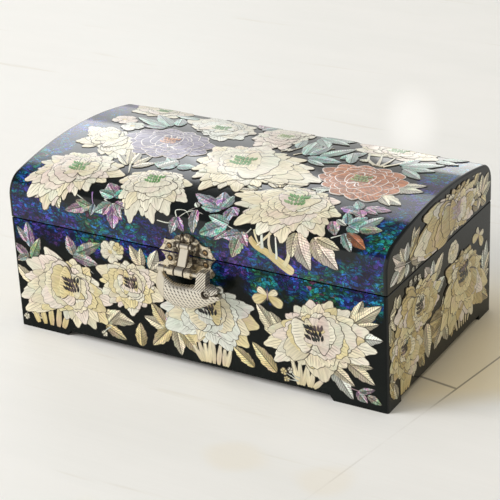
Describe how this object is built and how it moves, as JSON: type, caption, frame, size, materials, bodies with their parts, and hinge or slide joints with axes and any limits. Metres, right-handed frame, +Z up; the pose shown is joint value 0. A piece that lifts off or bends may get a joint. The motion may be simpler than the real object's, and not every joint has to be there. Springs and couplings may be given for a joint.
{
  "type": "mother of pearl jewelry box",
  "caption": "Rectangular lacquered jewelry box with a gently domed hinged lid, shell inlay, a brass hasp with a sliding-bolt fish padlock, and a lift-out tray.",
  "frame": {"origin": "on the table under the middle of the whole closed box, padlock and hinges included", "axes": "+X along the length to the right, +Y from the front to the hinges, +Z up"},
  "size_m": [0.26, 0.1664, 0.11],
  "materials": {
    "lacquer": "gloss black lacquer over wood, inlaid with shell",
    "plain_lacquer": "black lacquer over wood",
    "covered_board": "thin board covered in wine-red velvet",
    "padding": "padded wine-red velvet",
    "mirror": "silvered glass",
    "hinge_brass": "satin",
    "lock_brass": "pale cast brass, worn satin"
  },
  "bodies": {
    "box": {"body_front_panel": "lacquer", "body_rear_panel": "lacquer", "body_left_panel": "lacquer", "body_right_panel": "lacquer", "base_board": "plain_lacquer", "foot_front_left": "plain_lacquer", "foot_front_right": "plain_lacquer", "foot_rear_left": "plain_lacquer", "foot_rear_right": "plain_lacquer", "floor_pad": "padding", "liner_front": "covered_board", "liner_rear": "covered_board", "liner_left": "covered_board", "liner_right": "covered_board", "tray_ledge_left": "covered_board", "tray_ledge_right": "covered_board", "hinge_left_body_leaf": "hinge_brass", "hinge_right_body_leaf": "hinge_brass", "hinge_left_pin": "hinge_brass", "hinge_right_pin": "hinge_brass", "hinge_body_screws": "hinge_brass", "body_plate": "lock_brass", "body_plate_pins": "lock_brass"},
    "lid": {"lid_shell": "lacquer", "lid_left_end": "lacquer", "lid_right_end": "lacquer", "lid_board": "covered_board", "lid_mirror": "mirror", "hinge_left_lid_leaf": "hinge_brass", "hinge_right_lid_leaf": "hinge_brass", "hinge_lid_screws": "hinge_brass", "lid_plate": "lock_brass", "lid_plate_pins": "lock_brass", "hasp_pin": "lock_brass"},
    "tray": {"tray_front": "covered_board", "tray_rear": "covered_board", "tray_left": "covered_board", "tray_right": "covered_board", "tray_floor": "covered_board", "tray_cross_divider": "covered_board", "tray_long_divider": "covered_board", "ring_rolls": "padding"},
    "hasp": {"hasp": "lock_brass"},
    "lock": {"lock_body": "lock_brass"},
    "lock_bolt": {"lock_bolt": "lock_brass", "lock_springs": "lock_brass"}
  },
  "joints": [
    {"name": "lid_hinge", "type": "hinge", "parent": "box", "child": "lid", "pos_m": [0, 0.07963, 0.0753], "axis": [-1, 0, 0], "range_deg": [0, 100]},
    {"name": "tray_lift", "type": "slide", "parent": "box", "child": "tray", "axis": [0, 0, 1], "range_m": [0, 0.013]},
    {"name": "hasp_swing", "type": "hinge", "parent": "lid", "child": "hasp", "pos_m": [0, -0.07207, 0.082], "axis": [-1, 0, 0], "range_deg": [0, 110]},
    {"name": "padlock_swing", "type": "hinge", "parent": "box", "child": "lock", "pos_m": [0, -0.07857, 0.0683], "axis": [-1, 0, 0], "range_deg": [-6, 70]},
    {"name": "bolt_slide", "type": "slide", "parent": "lock", "child": "lock_bolt", "axis": [-1, 0, 0], "range_m": [0, 0.027]}
  ]
}
